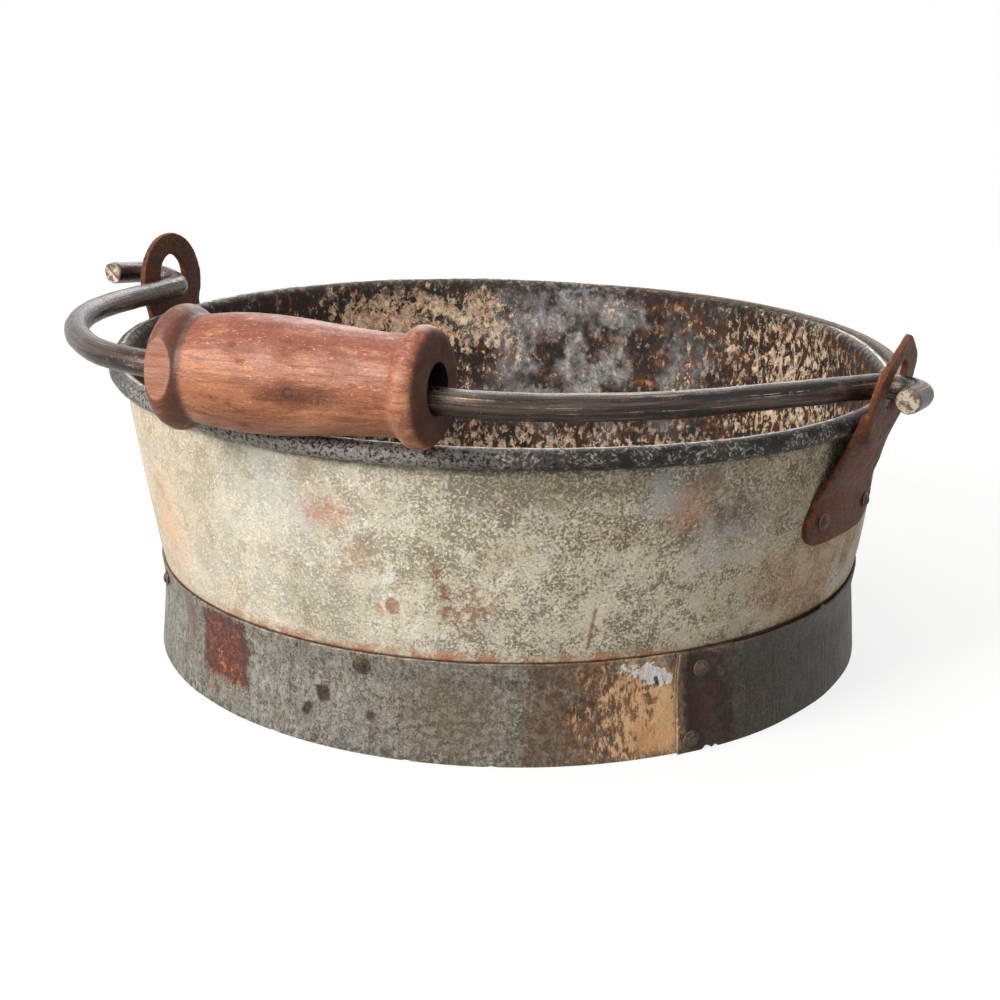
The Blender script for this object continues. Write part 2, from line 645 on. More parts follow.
def newGroup(name, inputs, outputs):
    group = bpy.data.node_groups.new(name, "ShaderNodeTree")
    for label, kind, value in inputs:
        socket = group.interface.new_socket(label, in_out="INPUT", socket_type="NodeSocket" + kind)
        if value is not None:
            socket.default_value = value
    for label, kind in outputs:
        group.interface.new_socket(label, in_out="OUTPUT", socket_type="NodeSocket" + kind)
    return group, group.nodes.new("NodeGroupInput"), group.nodes.new("NodeGroupOutput")


def useGroup(tree, group, values=None):
    made = tree.nodes.new("ShaderNodeGroup")
    made.node_tree = group
    return setInputs(tree, made, values or {}).outputs


def makePlaceGroup():
    # where a point of the tub is: in mm, its direction in degrees and its height
    group, _, out = newGroup("tubPlace", [], [("Place", "Vector"), ("Direction", "Float"),
                                              ("Height", "Float"), ("Radius", "Float")])
    own = addNode(group, "TexCoord").outputs["Object"]
    place = addNode(group, "VectorMath", {0: own, "Scale": 1 / mm}, operation="SCALE").outputs[0]
    parts = addNode(group, "SeparateXYZ", {0: place}).outputs
    angle = calc(group, "DEGREES", calc(group, "ARCTAN2", parts[1], parts[0]))
    square = mulAdd(group, parts[0], parts[0], calc(group, "MULTIPLY", parts[1], parts[1]))
    for label, value in (("Place", place), ("Direction", angle), ("Height", parts[2]),
                         ("Radius", calc(group, "SQRT", square))):
        group.links.new(value, out.inputs[label])
    return group


def makeStainGroup():
    # a ragged patch on the tub, at a direction and a height
    group, given, out = newGroup("placedStain", [
        ("Direction", "Float", 0.0), ("Height", "Float", 0.0), ("Grain", "Float", 0.5),
        ("At direction", "Float", 0.0), ("At height", "Float", 0.0), ("Half width", "Float", 10.0),
        ("Half height", "Float", 10.0), ("Lean", "Float", 0.0), ("Squareness", "Float", 0.0),
        ("Ragged", "Float", 0.6), ("Softness", "Float", 0.25)], [("Mask", "Float")])
    put = given.outputs
    turn = minus(group, put["Direction"], put["At direction"])
    turn = calc(group, "WRAP", turn, 180.0, -180.0)
    up = minus(group, put["Height"], put["At height"])
    side = mulAdd(group, turn, degreeLength, calc(group, "MULTIPLY", up, put["Lean"]))
    wide = unsigned(group, calc(group, "DIVIDE", side, put["Half width"]))
    tall = unsigned(group, calc(group, "DIVIDE", up, put["Half height"]))
    oval = calc(group, "SQRT", mulAdd(group, wide, wide, calc(group, "MULTIPLY", tall, tall)))
    square = calc(group, "MAXIMUM", wide, tall)
    shape = addNode(group, "Mix", {0: put["Squareness"], 2: oval, 3: square}).outputs[0]
    shape = mulAdd(group, minus(group, put["Grain"], 0.5),
                 calc(group, "MULTIPLY", put["Ragged"], 3.0), shape)
    low = minus(group, 1.0, put["Softness"])
    high = calc(group, "ADD", 1.0, put["Softness"])
    group.links.new(fade(group, shape, low, high, 1.0, 0.0), out.inputs["Mask"])
    return group


def makeMottleGroup():
    # clouds, blotches, flecks and grit, each from 0 to 1, and thin scratches
    names = ("Clouds", "Blotches", "Flecks", "Grit", "Scratches")
    group, given, out = newGroup("mottle", [("Place", "Vector", None), ("Size", "Float", 1.0)],
                                 [(name, "Float") for name in names])
    inverse = calc(group, "DIVIDE", 1.0, given.outputs["Size"])
    place = addNode(group, "VectorMath", {0: given.outputs["Place"], "Scale": inverse},
                    operation="SCALE").outputs[0]
    thin = grainOf(group, stretched(group, place, 0.05, 0.05, 0.6), 1.0, 4, 0.7, 2.5)
    line = unsigned(group, minus(group, thin, 0.5))
    values = (fade(group, grainOf(group, place, 34, 3, 0.5, 0.3), 0.32, 0.68),
              fade(group, grainOf(group, place, 8, 5, 0.7, 0.4), 0.4, 0.6),
              fade(group, grainOf(group, place, 2.6, 5, 0.78, 0.6), 0.43, 0.57),
              fade(group, grainOf(group, place, 1.0, 3, 0.8), 0.42, 0.58),
              fade(group, line, 0.0, 0.016, 1.0, 0.0))
    for name, value in zip(names, values):
        group.links.new(value, out.inputs[name])
    return group


rustStops = [(0.34, (34, 21, 17)), (0.44, (72, 38, 28)), (0.52, (114, 62, 42)),
             (0.62, (156, 92, 58)), (0.74, (200, 140, 94))]


def makeRustGroup():
    # rust colours: dark scale, red-brown and orange bloom
    group, given, out = newGroup(
        "rustColours", [("Place", "Vector", None), ("Brightness", "Float", 0.5)],
        [("Color", "Color"), ("Lumps", "Float")])
    place = given.outputs["Place"]
    wide, fine = grainOf(group, place, 7, 4, 0.6), grainOf(group, place, 1.3, 4, 0.75)
    mixed = mulAdd(group, fine, 0.55, calc(group, "MULTIPLY", wide, 0.45))
    bright = minus(group, given.outputs["Brightness"], 0.5)
    level = mulAdd(group, bright, 0.5, mixed)
    ramp = addNode(group, "ValToRGB", {0: level})
    marks = ramp.color_ramp.elements
    while len(marks) < len(rustStops):
        marks.new(0.5)
    for mark, (at, colour) in zip(marks, rustStops):
        mark.position, mark.color = at, paint(*colour)
    group.links.new(ramp.outputs[0], out.inputs["Color"])
    group.links.new(mixed, out.inputs["Lumps"])
    return group


tubPlace, placedStain = makePlaceGroup(), makeStainGroup()
mottle, rustColours = makeMottleGroup(), makeRustGroup()


def newMaterial(name, gloss):
    made = bpy.data.materials.new(name)
    made.use_nodes = True
    shader = made.node_tree.nodes["Principled BSDF"]
    shader.inputs["Specular IOR Level"].default_value = gloss
    return made, made.node_tree, shader


def feed(tree, shader, color, rough, normal, metal=0.0):
    setInputs(tree, shader, {"Base Color": color, "Roughness": rough, "Normal": normal,
                             "Metallic": metal})


def relief(tree, height, depth):    # depth in mm of a full step of height
    values = {"Height": height, "Distance": depth * mm, "Strength": 1.0}
    return addNode(tree, "Bump", values).outputs[0]


def stainMask(tree, where, grain, spot):
    names = ("At direction", "At height", "Half width", "Half height", "Lean", "Squareness",
             "Ragged", "Softness")
    given = {"Direction": where["Direction"], "Height": where["Height"], "Grain": grain}
    return useGroup(tree, placedStain, {**given, **dict(zip(names, spot))})["Mask"]


def most(tree, *masks):
    total = masks[0]
    for mask in masks[1:]:
        total = calc(tree, "MAXIMUM", total, mask)
    return total


def times(tree, *values):
    total = values[0]
    for value in values[1:]:
        total = calc(tree, "MULTIPLY", total, value)
    return total


def toward(tree, where, direction, wide, narrow):
    # 1 where the tub faces one direction, fading from narrow to wide degrees away from it
    off = calc(tree, "WRAP", minus(tree, where["Direction"], direction), 180.0, -180.0)
    return fade(tree, unsigned(tree, off), wide, narrow)


def coloursOf(look):
    return {key: paint(*value) for key, value in look.items() if isinstance(value, tuple)}


class Coats:    # colours laid one over another, the last on top
    def __init__(self, tree, look, first):
        self.tree, self.look, self.color = tree, look, look[first]

    def lay(self, share, over):    # over is a name in the look, or a colour
        over = self.look[over] if isinstance(over, str) else over
        self.color = blendColor(self.tree, share, self.color, over)

    def layStains(self, where, grains, grit, spots):
        # each spot is a colour, its strength, its grittiness, which grain, and its place
        for colour, strength, gritty, which, *spot in spots:
            mask = stainMask(self.tree, where, grains[which], spot)
            thinned = mulAdd(self.tree, grit, gritty, 1 - gritty)
            self.lay(times(self.tree, mask, thinned, strength), paint(*colour))


def startMaterial(name, look):
    # what every piece of sheet and iron starts from: its place, its marks and its rust
    made, tree, shader = newMaterial(name, look["gloss"])
    where = useGroup(tree, tubPlace)
    marks = useGroup(tree, mottle, {"Place": where["Place"], "Size": look["markSize"]})
    rust = useGroup(tree, rustColours, {"Place": where["Place"], "Brightness": look["rustLight"]})
    return made, tree, shader, where, marks, rust


def grainsOf(tree, place, look):
    return [grainOf(tree, place, *grain) for grain in look["grains"]]


# The tub's sheet: pale zinc bloom outside, scorched and flaking inside, a dark rolled edge
sheetLook = {
    "pale": (216, 207, 184), "green": (192, 182, 156), "brown": (156, 130, 98),
    "olive": (78, 68, 48), "ochre": (216, 192, 164), "light": (236, 234, 224),
    "seam": (176, 128, 96), "gap": (40, 26, 20), "rim": (58, 53, 46), "rimPale": (158, 154, 146),
    "rimBlack": (28, 25, 22), "worn": (206, 196, 180), "char": (24, 20, 16), "soot": (48, 39, 31), "umber": (84, 52, 34), "tan": (188, 144, 110),
    "cream": (216, 192, 162), "haze": (184, 184, 180), "blue": (180, 181, 173),
    "gloss": 0.28, "markSize": 1.0, "rustLight": 0.62,
    # middling, fine and wide grain: size in mm, detail, roughness
    "grains": [(7, 5, 0.62), (3.2, 5, 0.66), (24, 3, 0.55)],
    # places inside: direction, height, half width, half height, lean, squareness, raggedness,
    # softness
    "backFlakes": [112, 92, 56, 30, 0.1, 0.2, 0.7, 0.8],
    "sideFlakes": [30, 80, 46, 50, 0.0, 0.2, 0.5, 0.8],
    "hazeAt": [76, 86, 46, 34, 0.0, 0.0, 0.9, 0.8],
    # stains outside: colour, strength, grittiness, grain (0 middling or 1 fine), then a place
    "stains": [
        ((176, 122, 90), 0.8, 0.5, 1, -114.6, 91.0, 9, 5.5, 0.0, 0.0, 0.8, 0.6),
        ((140, 110, 82), 0.55, 0.6, 1, -116.5, 104, 6, 4.5, 0.2, 0.0, 0.9, 0.6),
        ((160, 112, 78), 0.6, 0.7, 1, -110.2, 76, 5.0, 7, -0.4, 0.0, 1.0, 0.6),
        ((226, 228, 228), 0.75, 0.5, 1, -105.8, 69.8, 2.1, 2.5, 0.0, 0.0, 1.1, 0.45),
        ((150, 106, 74), 0.85, 0.25, 1, -105.6, 58.6, 2.7, 3.4, 0.0, 0.0, 0.15, 0.15),
        ((130, 78, 50), 0.85, 0.75, 1, -98.8, 67, 1.6, 10, 0.25, 0.0, 1.2, 0.5),
        ((124, 80, 52), 0.8, 0.85, 1, -96.2, 57, 8, 8, 0.3, 0.0, 1.5, 0.6),
        ((150, 104, 72), 0.6, 0.8, 1, -93.0, 62, 6, 5, -0.3, 0.0, 1.4, 0.6),
        ((196, 122, 86), 0.6, 0.4, 1, -107.5, 56.5, 1.5, 2.5, 0.0, 0.0, 0.9, 0.4),
        ((118, 74, 48), 0.9, 0.3, 1, -78.6, 52, 0.8, 8, -0.12, 0.0, 0.9, 0.5),
        ((178, 138, 102), 0.6, 0.4, 0, -43, 56, 26, 17, 0.0, 0.0, 0.9, 0.7),
        ((134, 100, 68), 0.6, 0.5, 0, -26, 66, 14, 24, 0.0, 0.0, 0.8, 0.7),
        ((96, 86, 64), 0.75, 0.6, 0, -82, 103, 36, 5, 0.0, 0.0, 1.4, 0.8),
        ((84, 74, 56), 0.7, 0.6, 0, -60, 92, 20, 13, 0.5, 0.0, 1.6, 0.8),
        ((176, 112, 84), 0.5, 0.5, 0, -66, 92, 7, 9, 0.0, 0.0, 1.4, 0.8),
        ((176, 182, 184), 0.55, 0.5, 0, -71, 100, 7, 6, 0.0, 0.0, 1.4, 0.8),
        ((186, 188, 184), 0.5, 0.4, 0, -62, 80, 12, 9, 0.0, 0.0, 1.2, 0.8),
        ((184, 190, 190), 0.5, 0.4, 0, -122, 96, 8, 13, 0.3, 0.0, 1.2, 0.8),
        ((222, 178, 140), 0.55, 0.2, 0, -150, 66, 12, 16, 0.0, 0.0, 0.9, 0.7),
    ],
}


def sheetOutside(tree, where, marks, grains, rust):
    coats = Coats(tree, coloursOf(sheetLook), "green")
    coats.lay(marks["Clouds"], "pale")
    coats.lay(times(tree, toward(tree, where, -158.0, 36.0, 4.0), 0.55), "ochre")
    browner = fade(tree, grains[2], 0.3, 0.6)
    coats.lay(times(tree, toward(tree, where, -18.0, 74.0, 6.0), browner, 0.85), "brown")
    # grit lies thicker at the front right and under the rim
    upper = times(tree, fade(tree, where["Height"], 84.0, 108.0), 0.6)
    thick = most(tree, fade(tree, grains[2], 0.36, 0.66), upper)
    side = mulAdd(tree, toward(tree, where, -60.0, 72.0, 20.0), 0.66, 0.34)
    patches = grainOf(tree, where["Place"], 13, 4, 0.6, 0.4)
    coats.lay(times(tree, fade(tree, patches, 0.5, 0.64), 0.4), "blue")
    coats.lay(times(tree, fade(tree, patches, 0.45, 0.34), 0.4), "brown")
    specks = grainOf(tree, where["Place"], 1.0, 3, 0.7, 0.3)
    crowd = mulAdd(tree, grains[0], 0.6, mulAdd(tree, thick, 0.12, specks))
    dark = times(tree, fade(tree, crowd, 0.82, 0.98), side, 0.75)
    coats.lay(dark, "olive")
    coats.lay(times(tree, fade(tree, specks, 0.46, 0.34), 0.45), "light")
    coats.layStains(where, grains, marks["Flecks"], sheetLook["stains"])
    coats.lay(times(tree, marks["Scratches"], 0.4), "olive")
    rusting = times(tree, fade(tree, grains[1], 0.64, 0.7), fade(tree, grains[2], 0.45, 0.65), 0.8)
    coats.lay(rusting, rust["Color"])
    # rust creeps up from the band's edge, most of it at the front left
    level = mulAdd(tree, minus(tree, grains[1], 0.5), 9.0, where["Height"])
    patchy = fade(tree, grains[0], 0.34, 0.58)
    creep = mulAdd(tree, times(tree, toward(tree, where, -104.0, 44.0, 26.0), patchy), 0.8, 0.12)
    coats.lay(times(tree, fade(tree, level, 43.6, 40.0), creep), "seam")
    lowest = fade(tree, level, 41.0, 38.8)
    coats.lay(times(tree, lowest, marks["Flecks"], creep, 0.6), rust["Color"])
    coats.lay(times(tree, fade(tree, where["Height"], 39.6, 38.5), 0.9), "gap")
    underRim = fade(tree, where["Height"], 109.0, 112.0)
    coats.lay(times(tree, underRim, fade(tree, grains[1], 0.34, 0.56)), "rim")
    return coats.color


def sheetRim(tree, where, grains, inside):
    coats = Coats(tree, coloursOf(sheetLook), "rimBlack")
    coats.lay(fade(tree, grains[0], 0.38, 0.6), "rim")
    specks = grainOf(tree, where["Place"], 1.3, 3, 0.72, 0.3)
    pale = times(tree, fade(tree, specks, 0.53, 0.59), fade(tree, grains[0], 0.38, 0.56), 0.9)
    left = toward(tree, where, -124.0, 46.0, 16.0)
    left = times(tree, left, fade(tree, specks, 0.42, 0.52), 0.75)
    coats.lay(most(tree, pale, left), "rimPale")
    crown = times(tree, fade(tree, inside, 0.005, 0.04), fade(tree, inside, 0.26, 0.12),
                  fade(tree, grains[1], 0.36, 0.52), 0.9)
    coats.lay(crown, "worn")
    return coats.color


def sheetInside(tree, where, marks, grains, rust):
    # scale, soot and flaking limewash, with a hazy grey patch at the back
    look = coloursOf(sheetLook)
    coats = Coats(tree, look, "char")
    place, height = where["Place"], where["Height"]
    drips = grainOf(tree, stretched(tree, place, 1.0, 1.0, 0.6), 2.9, 4, 0.72, 0.3)
    back, side, blue = (stainMask(tree, where, grains[0], sheetLook[key])
                        for key in ("backFlakes", "sideFlakes", "hazeAt"))
    lowDown = fade(tree, height, 66.0, 30.0)
    coats.lay(fade(tree, drips, 0.4, 0.6), "soot")
    coats.lay(times(tree, fade(tree, grains[0], 0.4, 0.6), 0.7), "umber")
    orange = times(tree, fade(tree, grains[0], 0.55, 0.63), fade(tree, drips, 0.4, 0.6), 0.85)
    coats.lay(orange, rust["Color"])
    cluster = mulAdd(tree, back, 0.17, times(tree, grains[2], 0.35))
    cluster = mulAdd(tree, grains[0], 0.6, mulAdd(tree, grains[1], 0.3, cluster))
    cluster = mulAdd(tree, fade(tree, drips, 0.3, 0.7), 0.1, cluster)
    big = fade(tree, cluster, 0.79, 0.815)
    streaky = calc(tree, "ADD", most(tree, times(tree, side, 0.085), times(tree, lowDown, 0.1)),
                   drips)
    small = times(tree, fade(tree, streaky, 0.565, 0.61), most(tree, side, lowDown, 0.35))
    flaked = most(tree, big, small)
    flakeColor = blendColor(tree, fade(tree, drips, 0.4, 0.62), look["tan"], look["cream"])
    flakeColor = blendColor(tree, times(tree, marks["Flecks"], 0.45), flakeColor, look["umber"])
    coats.lay(flaked, flakeColor)
    cloudy = fade(tree, mulAdd(tree, grains[0], 0.35, grains[2]), 0.6, 0.78)
    hazy = times(tree, blue, mulAdd(tree, marks["Flecks"], 0.55, 0.4), cloudy, 0.95)
    coats.lay(hazy, "haze")
    coats.lay(times(tree, marks["Flecks"], marks["Blotches"], 0.85), "char")
    coats.lay(times(tree, fade(tree, marks["Grit"], 0.3, 0.0), flaked, 0.4), "cream")
    rubbed = times(tree, fade(tree, height, 109.0, 115.0), fade(tree, grains[1], 0.42, 0.55), 0.8)
    coats.lay(rubbed, "rimBlack")
    return coats.color, flaked


def sheetMaterial():
    made, tree, shader, where, marks, rust = startMaterial("galvanisedSheet", sheetLook)
    grains = grainsOf(tree, where["Place"], sheetLook)
    inside = addNode(tree, "Attribute", attribute_name="insideShare").outputs["Fac"]
    bead = addNode(tree, "Attribute", attribute_name="beadShare").outputs["Fac"]
    hollow, flaked = sheetInside(tree, where, marks, grains, rust)
    color = blendColor(tree, inside, sheetOutside(tree, where, marks, grains, rust), hollow)
    color = blendColor(tree, bead, color, sheetRim(tree, where, grains, inside))
    height = mulAdd(tree, flaked, times(tree, inside, 0.6), times(tree, marks["Blotches"], 0.2))
    height = mulAdd(tree, marks["Flecks"], 0.3, height)
    height = mulAdd(tree, marks["Grit"], -0.25, height)
    rough = fade(tree, grains[0], 0.3, 0.7, 0.48, 0.7)
    rough = mulAdd(tree, inside, 0.12, rough)
    rough = mulAdd(tree, bead, -0.16, rough)
    metal = mulAdd(tree, bead, 0.3, 0.1)
    feed(tree, shader, color, rough, relief(tree, height, 0.4), metal)
    return made


# The band: grey zinc, dark at the right, a rust patch at the left, limewash by the lap
bandLook = {
    "zinc": (122, 118, 106), "dark": (40, 36, 27), "pale": (168, 166, 156), "olive": (74, 66, 50),
    "tan": (206, 166, 122), "cavity": (66, 44, 30), "bloom": (182, 104, 70),
    "gloss": 0.25, "markSize": 0.9, "rustLight": 0.7,
    "grains": [(6, 5, 0.64), (2.6, 5, 0.68), (22, 3, 0.55)],
    "bloomAt": [-137.1, 21, 11.5, 13, 0.05, 0.6, 0.5, 0.3],
    "limewashAt": [-73.2, 16, 18, 24, 0.0, 0.5, 0.5, 0.5],
    "lapLineAt": [band["lapAt"] - 0.15, 19, 0.35, 19, 0.0, 1.0, 0.0, 0.3],
    "behindLap": [-60.6, 17, 13, 26, 0.12, 0.5, 0.6, 0.4],
    "stains": [
        ((78, 40, 33), 0.98, 0.12, 1, -137.3, 25, 15, 13, 0.06, 0.9, 0.26, 0.1),
        ((104, 78, 68), 0.75, 0.3, 1, -147.5, 28, 6, 8, 0.0, 0.3, 0.8, 0.6),
        ((48, 40, 34), 0.95, 0.1, 1, -117.2, 20, 2.9, 3.2, 0.2, 0.5, 0.4, 0.25),
        ((46, 39, 33), 0.95, 0.1, 1, -119.8, 13, 1.9, 2.8, -0.35, 0.0, 0.5, 0.3),
        ((54, 44, 38), 0.9, 0.2, 1, -109.5, 15, 1.9, 2.2, 0.0, 0.0, 0.5, 0.4),
        ((70, 58, 50), 0.7, 0.3, 1, -109.3, 9.0, 1.1, 6, 0.0, 0.0, 0.5, 0.5),
        ((58, 52, 46), 0.8, 0.5, 1, -91.5, 33.4, 2.4, 1.8, 0.0, 0.0, 0.9, 0.5),
        ((58, 52, 46), 0.8, 0.5, 1, -89.2, 30.6, 2.2, 2.6, 0.0, 0.0, 0.9, 0.5),
        ((84, 72, 50), 0.7, 0.4, 0, -97, 16, 16, 16, 0.0, 0.3, 1.0, 0.8),
        ((82, 56, 36), 0.9, 0.3, 0, -84, 19, 10, 28, 0.0, 0.4, 1.1, 0.7),
        ((104, 66, 42), 0.9, 0.4, 0, -77.5, 19, 9, 28, 0.0, 0.5, 0.9, 0.7),
        ((50, 34, 25), 0.8, 0.3, 1, -80.2, 22, 5.5, 4.5, 0.0, 0.0, 0.9, 0.6),
        ((158, 108, 68), 0.9, 0.4, 0, -70.2, 15, 11, 20, 0.0, 0.6, 0.8, 0.4),
        ((46, 25, 17), 0.97, 0.12, 0, -60.6, 17, 13, 26, 0.12, 0.5, 0.6, 0.4),
        ((74, 34, 28), 0.6, 0.4, 1, -61.2, 18, 4, 6, 0.0, 0.0, 1.4, 0.8),
        ((44, 28, 22), 0.9, 0.2, 1, -63.0, 20, 3.4, 22, 0.0, 0.6, 0.6, 0.5),
        ((52, 52, 46), 0.7, 0.2, 1, -61.2, 31, 5, 6, 0.0, 0.0, 0.6, 0.5),
    ],
    "limewash": [
        ((210, 168, 122), 0.95, 0.16, 1, -67.2, 13, 4.2, 14, 0.0, 0.8, 1.0, 0.12),
        ((196, 148, 100), 0.9, 0.2, 1, -70.0, 8, 5.0, 7, 0.3, 0.4, 1.0, 0.2),
        ((228, 230, 228), 0.95, 0.25, 1, -69.4, 31.5, 6.4, 4.6, 1.1, 0.0, 1.4, 0.15),
        ((24, 20, 18), 0.9, 0.0, 1, -68.4, 28.6, 0.9, 2.0, 0.3, 0.0, 0.7, 0.2),
        ((84, 46, 30), 0.85, 0.2, 1, -69.6, 22, 2.6, 2.0, 0.0, 0.0, 1.6, 0.3),
    ],
}


def bandMaterial():
    made, tree, shader, where, marks, rust = startMaterial("zincBand", bandLook)
    place = where["Place"]
    grains = grainsOf(tree, place, bandLook)
    coats = Coats(tree, coloursOf(bandLook), "zinc")
    runs = grainOf(tree, stretched(tree, place, 1.0, 1.0, 0.09), 1.5, 5, 0.74)
    coats.lay(times(tree, marks["Clouds"], marks["Blotches"], 0.6), "pale")
    shaded = toward(tree, where, -16.0, 48.0, 36.0)
    coats.lay(times(tree, shaded, 0.92), "dark")
    coats.lay(times(tree, fade(tree, runs, 0.48, 0.66), 0.45), "dark")
    coats.lay(times(tree, fade(tree, runs, 0.44, 0.3), mulAdd(tree, shaded, -0.1, 0.25)), "pale")
    coats.lay(times(tree, fade(tree, grains[0], 0.36, 0.62), marks["Flecks"], 0.75), "olive")
    coats.lay(times(tree, marks["Grit"], marks["Flecks"], 0.5), "dark")
    lightGrit = mulAdd(tree, shaded, -0.22, 0.3)
    coats.lay(times(tree, fade(tree, marks["Grit"], 0.3, 0.0), lightGrit), "pale")
    coats.layStains(where, grains, marks["Flecks"], bandLook["stains"])
    patch = stainMask(tree, where, grains[1], bandLook["bloomAt"])
    bloom = times(tree, patch, fade(tree, grainOf(tree, place, 3.4, 6, 0.78, 0.9), 0.53, 0.6), 0.8)
    coats.lay(bloom, "bloom")
    # limewash left in upright streaks, thicker towards the lap
    flaky = stainMask(tree, where, grains[0], bandLook["limewashAt"])
    nearLap = fade(tree, where["Direction"], -83.0, -67.0)
    upright = grainOf(tree, stretched(tree, place, 1.0, 1.0, 0.4), 1.9, 6, 0.76)
    chips = times(tree, flaky, fade(tree, mulAdd(tree, nearLap, 0.1, upright), 0.55, 0.58))
    coats.lay(times(tree, chips, 0.9), "tan")
    pits = times(tree, flaky, fade(tree, upright, 0.46, 0.43), mulAdd(tree, nearLap, -0.4, 1.0))
    coats.lay(times(tree, pits, 0.9), "cavity")
    coats.layStains(where, grains, marks["Flecks"], bandLook["limewash"])
    lapLine = stainMask(tree, where, grains[1], bandLook["lapLineAt"])
    coats.lay(times(tree, lapLine, fade(tree, grains[1], 0.3, 0.45), 0.8), "tan")
    level = mulAdd(tree, minus(tree, grains[1], 0.5), 6.0, where["Height"])
    topRust = times(tree, fade(tree, level, 37.2, 38.8), 0.22)
    coats.lay(topRust, rust["Color"])
    low = times(tree, fade(tree, level, 5.0, 0.0), marks["Flecks"], 0.8)
    coats.lay(low, "olive")
    height = mulAdd(tree, most(tree, bloom, chips), 0.5, times(tree, marks["Flecks"], 0.3))
    height = mulAdd(tree, runs, 0.3, height)
    behindLap = stainMask(tree, where, grains[0], bandLook["behindLap"])
    rusty = most(tree, most(tree, patch, flaky), behindLap, topRust)
    rough = mulAdd(tree, rusty, 0.2, fade(tree, runs, 0.3, 0.7, 0.42, 0.6))
    metal = mulAdd(tree, rusty, -0.3, 0.3)
    feed(tree, shader, coats.color, rough, relief(tree, height, 0.32), metal)
    return made


dishLook = {"gloss": 0.2, "markSize": 1.2, "rustLight": 0.55, "rustyEdge": (122.0, 137.0)}


def floorMaterial():    # in the colours of the tub's inside
    made, tree, shader, where, marks, rust = startMaterial("scorchedFloor", dishLook)
    coats = Coats(tree, coloursOf(sheetLook), "char")
    flakes = grainOf(tree, where["Place"], 6, 6, 0.72, 0.4)
    coats.lay(marks["Clouds"], "soot")
    coats.lay(fade(tree, flakes, 0.42, 0.5), rust["Color"])
    tan = fade(tree, flakes, 0.54, 0.6)
    coats.lay(times(tree, tan, 0.9), "tan")
    coats.lay(times(tree, marks["Flecks"], marks["Blotches"], 0.8), "char")
    edge = fade(tree, where["Radius"], *dishLook["rustyEdge"])
    coats.lay(times(tree, edge, marks["Blotches"]), rust["Color"])
    height = mulAdd(tree, tan, 0.5, times(tree, marks["Flecks"], 0.3))
    rough = fade(tree, marks["Blotches"], 0.0, 1.0, 0.5, 0.8)
    feed(tree, shader, coats.color, rough, relief(tree, height, 0.35), 0.1)
    return made


earLook = {"dark": (46, 26, 17), "mid": (76, 44, 29), "lit": (160, 92, 50), "rust": 0.22,
           "shine": 0.5, "metal": 0.0, "gloss": 0.2, "markSize": 0.5, "rustLight": 0.4}
rivetLook = {"dark": (30, 24, 19), "mid": (64, 51, 40), "lit": (150, 128, 104), "rust": 0.3,
             "shine": 0.42, "metal": 0.35, "gloss": 0.35, "markSize": 0.5, "rustLight": 0.42}


def ironMaterial(name, look):
    made, tree, shader, where, marks, rust = startMaterial(name, look)
    place, coats = where["Place"], Coats(tree, coloursOf(look), "dark")
    coats.lay(marks["Clouds"], "mid")
    coats.lay(times(tree, marks["Flecks"], marks["Blotches"], 0.4), "lit")
    start = 0.66 - 0.3 * look["rust"]
    rusty = times(tree, fade(tree, grainOf(tree, place, 6, 5, 0.68), start, start + 0.14), 0.75)
    coats.lay(rusty, rust["Color"])
    coats.lay(times(tree, marks["Scratches"], 0.5), "lit")
    edge = addNode(tree, "NewGeometry").outputs["Pointiness"]
    patchy = fade(tree, grainOf(tree, place, 3, 4, 0.6), 0.3, 0.6)
    worn = times(tree, fade(tree, edge, 0.51, 0.56), patchy)
    coats.lay(times(tree, worn, 0.75), "lit")
    sunk = fade(tree, edge, 0.49, 0.44)
    coats.lay(times(tree, sunk, 0.8), "dark")
    height = mulAdd(tree, marks["Flecks"], 0.4, times(tree, rust["Lumps"], 0.6))
    plain = fade(tree, marks["Blotches"], 0.0, 1.0, look["shine"], look["shine"] + 0.18)
    rough = mulAdd(tree, rusty, 0.2, plain)
    metal = mulAdd(tree, rusty, -look["metal"], look["metal"])
    feed(tree, shader, coats.color, rough, relief(tree, height, 0.24), metal)
    return made


rodLook = {"black": (20, 16, 13), "grey": (84, 70, 59), "bare": (200, 182, 162),
           "dust": (206, 188, 166), "cut": (206, 190, 170), "cutBrown": (116, 92, 72),
           "gloss": 0.5, "rustLight": 0.42}


